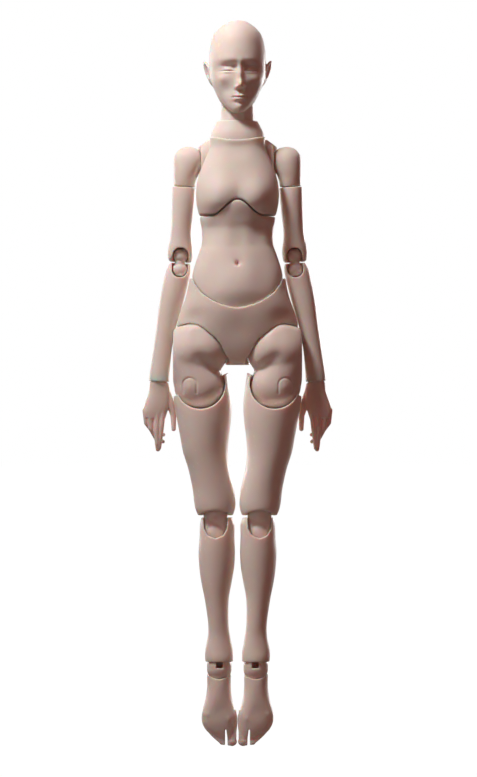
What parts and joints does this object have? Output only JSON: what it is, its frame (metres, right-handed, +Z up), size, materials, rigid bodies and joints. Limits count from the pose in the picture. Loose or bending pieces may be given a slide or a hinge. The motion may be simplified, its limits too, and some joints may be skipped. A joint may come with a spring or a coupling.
{
  "type": "ball-jointed doll body",
  "caption": "Bare, bald ball-jointed doll of cast resin, strung on elastic: turning head, waist, shoulders, wrists, hips and ankles, double-hinged elbows and knees.",
  "frame": {"origin": "middle of the flat under the crotch, where a saddle stand carries the body", "axes": "+Z up towards the crown, +X towards the figure's own left, the face looks along -Y"},
  "size_m": [0.078, 0.0289, 0.2907],
  "materials": {
    "resin": "satin cast resin, unpainted",
    "joint_resin": "satin cast resin, rubbed smooth where joints turn",
    "elastic": "round braided elastic",
    "steel": "bent wire hooks and small magnets"
  },
  "bodies": {
    "pelvis": {"pelvis": "resin", "cord_hips": "elastic"},
    "waist_cord": {"cord_waist": "elastic"},
    "abdomen": {"abdomen": "resin", "cord_abdomen": "elastic"},
    "chest": {"chest": "resin", "cord_chest": "elastic"},
    "collar": {"collar": "resin", "cord_collar": "elastic"},
    "neck": {"neck": "resin", "cord_neck": "elastic", "neck_hook": "steel"},
    "head": {"head_shell": "resin", "head_magnet": "steel"},
    "head_cap": {"head_cap": "resin", "cap_magnet": "steel"},
    "shoulder_yoke_left": {"shoulder_yoke_left": "resin"},
    "shoulder_cord_left": {"cord_shoulder_left": "elastic"},
    "shoulder_cap_left": {"shoulder_cap_left": "resin"},
    "upper_arm_left": {"upper_arm_left": "resin", "cord_upper_arm_left": "elastic"},
    "elbow_link_left": {"elbow_link_left": "joint_resin"},
    "forearm_left": {"forearm_left": "resin", "cord_forearm_left": "elastic"},
    "wrist_hook_left": {"hand_hook_left": "steel"},
    "hand_left": {"hand_left": "resin"},
    "hip_cord_left": {"cord_hip_left": "elastic"},
    "upper_thigh_left": {"upper_thigh_left": "joint_resin"},
    "thigh_cord_left": {"cord_thigh_left": "elastic"},
    "lower_thigh_left": {"lower_thigh_left": "resin", "cord_lower_thigh_left": "elastic"},
    "knee_link_left": {"knee_link_left": "joint_resin"},
    "shin_left": {"shin_left": "resin", "cord_shin_left": "elastic"},
    "ankle_ball_left": {"ankle_ball_left": "joint_resin"},
    "foot_left": {"foot_left": "resin", "foot_hook_left": "steel"},
    "shoulder_yoke_right": {"shoulder_yoke_right": "resin"},
    "shoulder_cord_right": {"cord_shoulder_right": "elastic"},
    "shoulder_cap_right": {"shoulder_cap_right": "resin"},
    "upper_arm_right": {"upper_arm_right": "resin", "cord_upper_arm_right": "elastic"},
    "elbow_link_right": {"elbow_link_right": "joint_resin"},
    "forearm_right": {"forearm_right": "resin", "cord_forearm_right": "elastic"},
    "wrist_hook_right": {"hand_hook_right": "steel"},
    "hand_right": {"hand_right": "resin"},
    "hip_cord_right": {"cord_hip_right": "elastic"},
    "upper_thigh_right": {"upper_thigh_right": "joint_resin"},
    "thigh_cord_right": {"cord_thigh_right": "elastic"},
    "lower_thigh_right": {"lower_thigh_right": "resin", "cord_lower_thigh_right": "elastic"},
    "knee_link_right": {"knee_link_right": "joint_resin"},
    "shin_right": {"shin_right": "resin", "cord_shin_right": "elastic"},
    "ankle_ball_right": {"ankle_ball_right": "joint_resin"},
    "foot_right": {"foot_right": "resin", "foot_hook_right": "steel"}
  },
  "joints": [
    {"name": "waist_turn", "type": "hinge", "parent": "pelvis", "child": "waist_cord", "pos_m": [0, 0, 0.0372], "axis": [0, 0, 1], "range_deg": [-15, 15]},
    {"name": "waist_bend", "type": "hinge", "parent": "waist_cord", "child": "abdomen", "pos_m": [0, 0, 0.0372], "axis": [1, 0, 0], "range_deg": [-10, 14]},
    {"name": "chest_bend", "type": "hinge", "parent": "abdomen", "child": "chest", "pos_m": [0, 0, 0.068], "axis": [1, 0, 0], "range_deg": [-5, 6]},
    {"name": "collar_tilt", "type": "hinge", "parent": "chest", "child": "collar", "pos_m": [0, 0, 0.0912], "axis": [1, 0, 0], "range_deg": [-3, 3]},
    {"name": "neck_turn", "type": "hinge", "parent": "collar", "child": "neck", "pos_m": [0, 0.0016, 0.0974], "axis": [0, 0, 1], "range_deg": [-45, 45]},
    {"name": "head_nod", "type": "hinge", "parent": "neck", "child": "head", "pos_m": [0, 0.0016, 0.1054], "axis": [1, 0, 0], "range_deg": [-10, 10]},
    {"name": "head_cap_pull", "type": "slide", "parent": "head", "child": "head_cap", "axis": [0, 1, 0], "range_m": [0, 0.014]},
    {"name": "shoulder_shrug_left", "type": "hinge", "parent": "chest", "child": "shoulder_yoke_left", "pos_m": [0.0122, 0.0044, 0.0824], "axis": [0, -1, 0], "range_deg": [0, 12]},
    {"name": "arm_raise_left", "type": "hinge", "parent": "shoulder_yoke_left", "child": "shoulder_cord_left", "pos_m": [0.0197, 0.0044, 0.0816], "axis": [0, -1, 0], "range_deg": [0, 80]},
    {"name": "arm_swing_left", "type": "hinge", "parent": "shoulder_cord_left", "child": "shoulder_cap_left", "pos_m": [0.0197, 0.0044, 0.0816], "axis": [1, 0, 0], "range_deg": [-90, 30]},
    {"name": "upper_arm_turn_left", "type": "hinge", "parent": "shoulder_cap_left", "child": "upper_arm_left", "pos_m": [0.02138, 0.0044, 0.07143], "axis": [-0.0593, 0, 0.9982], "range_deg": [-25, 60]},
    {"name": "elbow_upper_left", "type": "hinge", "parent": "upper_arm_left", "child": "elbow_link_left", "pos_m": [0.02282, 0.0044, 0.04387], "axis": [-0.9982, 0, -0.0593], "range_deg": [0, 48]},
    {"name": "elbow_lower_left", "type": "hinge", "parent": "elbow_link_left", "child": "forearm_left", "pos_m": [0.02315, 0.0044, 0.03828], "axis": [-0.9982, 0, -0.0593], "range_deg": [0, 48]},
    {"name": "wrist_turn_left", "type": "hinge", "parent": "forearm_left", "child": "wrist_hook_left", "pos_m": [0.03149, 0.0044, -0.00601], "axis": [0.185, 0, -0.9827], "range_deg": [-60, 60]},
    {"name": "hand_flex_left", "type": "hinge", "parent": "wrist_hook_left", "child": "hand_left", "pos_m": [0.03149, 0.0044, -0.00601], "axis": [-0.9982, 0, -0.0593], "range_deg": [-35, 35]},
    {"name": "hip_turn_left", "type": "hinge", "parent": "pelvis", "child": "hip_cord_left", "pos_m": [0.0148, 0, 0.0058], "axis": [0, 0, 1], "range_deg": [-3, 25]},
    {"name": "hip_flex_left", "type": "hinge", "parent": "hip_cord_left", "child": "upper_thigh_left", "pos_m": [0.0148, 0, 0.0058], "axis": [-1, 0, 0], "range_deg": [-10, 70]},
    {"name": "thigh_turn_left", "type": "hinge", "parent": "upper_thigh_left", "child": "thigh_cord_left", "pos_m": [0.0148, 0, -0.0084], "axis": [0, 0, 1], "range_deg": [-3, 20]},
    {"name": "thigh_bend_left", "type": "hinge", "parent": "thigh_cord_left", "child": "lower_thigh_left", "pos_m": [0.0148, 0, -0.0084], "axis": [-1, 0, 0], "range_deg": [0, 15]},
    {"name": "knee_upper_left", "type": "hinge", "parent": "lower_thigh_left", "child": "knee_link_left", "pos_m": [0.0088, 0, -0.0596], "axis": [1, 0, 0], "range_deg": [0, 48]},
    {"name": "knee_lower_left", "type": "hinge", "parent": "knee_link_left", "child": "shin_left", "pos_m": [0.0088, 0, -0.0668], "axis": [1, 0, 0], "range_deg": [0, 48]},
    {"name": "ankle_roll_left", "type": "hinge", "parent": "shin_left", "child": "ankle_ball_left", "pos_m": [0.0073, 0, -0.1216], "axis": [0, -1, 0], "range_deg": [0, 10]},
    {"name": "foot_flex_left", "type": "hinge", "parent": "ankle_ball_left", "child": "foot_left", "pos_m": [0.0073, 0, -0.1216], "axis": [-1, 0, 0], "range_deg": [-5, 40]},
    {"name": "shoulder_shrug_right", "type": "hinge", "parent": "chest", "child": "shoulder_yoke_right", "pos_m": [-0.0122, 0.0044, 0.0824], "axis": [0, 1, 0], "range_deg": [0, 12]},
    {"name": "arm_raise_right", "type": "hinge", "parent": "shoulder_yoke_right", "child": "shoulder_cord_right", "pos_m": [-0.0197, 0.0044, 0.0816], "axis": [0, 1, 0], "range_deg": [0, 80]},
    {"name": "arm_swing_right", "type": "hinge", "parent": "shoulder_cord_right", "child": "shoulder_cap_right", "pos_m": [-0.0197, 0.0044, 0.0816], "axis": [1, 0, 0], "range_deg": [-90, 30]},
    {"name": "upper_arm_turn_right", "type": "hinge", "parent": "shoulder_cap_right", "child": "upper_arm_right", "pos_m": [-0.02138, 0.0044, 0.07143], "axis": [-0.0593, 0, -0.9982], "range_deg": [-25, 60]},
    {"name": "elbow_upper_right", "type": "hinge", "parent": "upper_arm_right", "child": "elbow_link_right", "pos_m": [-0.02282, 0.0044, 0.04387], "axis": [-0.9982, 0, 0.0593], "range_deg": [0, 48]},
    {"name": "elbow_lower_right", "type": "hinge", "parent": "elbow_link_right", "child": "forearm_right", "pos_m": [-0.02315, 0.0044, 0.03828], "axis": [-0.9982, 0, 0.0593], "range_deg": [0, 48]},
    {"name": "wrist_turn_right", "type": "hinge", "parent": "forearm_right", "child": "wrist_hook_right", "pos_m": [-0.03149, 0.0044, -0.00601], "axis": [0.185, 0, 0.9827], "range_deg": [-60, 60]},
    {"name": "hand_flex_right", "type": "hinge", "parent": "wrist_hook_right", "child": "hand_right", "pos_m": [-0.03149, 0.0044, -0.00601], "axis": [-0.9982, 0, 0.0593], "range_deg": [-35, 35]},
    {"name": "hip_turn_right", "type": "hinge", "parent": "pelvis", "child": "hip_cord_right", "pos_m": [-0.0148, 0, 0.0058], "axis": [0, 0, -1], "range_deg": [-3, 25]},
    {"name": "hip_flex_right", "type": "hinge", "parent": "hip_cord_right", "child": "upper_thigh_right", "pos_m": [-0.0148, 0, 0.0058], "axis": [-1, 0, 0], "range_deg": [-10, 70]},
    {"name": "thigh_turn_right", "type": "hinge", "parent": "upper_thigh_right", "child": "thigh_cord_right", "pos_m": [-0.0148, 0, -0.0084], "axis": [0, 0, -1], "range_deg": [-3, 20]},
    {"name": "thigh_bend_right", "type": "hinge", "parent": "thigh_cord_right", "child": "lower_thigh_right", "pos_m": [-0.0148, 0, -0.0084], "axis": [-1, 0, 0], "range_deg": [0, 15]},
    {"name": "knee_upper_right", "type": "hinge", "parent": "lower_thigh_right", "child": "knee_link_right", "pos_m": [-0.0088, 0, -0.0596], "axis": [1, 0, 0], "range_deg": [0, 48]},
    {"name": "knee_lower_right", "type": "hinge", "parent": "knee_link_right", "child": "shin_right", "pos_m": [-0.0088, 0, -0.0668], "axis": [1, 0, 0], "range_deg": [0, 48]},
    {"name": "ankle_roll_right", "type": "hinge", "parent": "shin_right", "child": "ankle_ball_right", "pos_m": [-0.0073, 0, -0.1216], "axis": [0, 1, 0], "range_deg": [0, 10]},
    {"name": "foot_flex_right", "type": "hinge", "parent": "ankle_ball_right", "child": "foot_right", "pos_m": [-0.0073, 0, -0.1216], "axis": [-1, 0, 0], "range_deg": [-5, 40]}
  ]
}
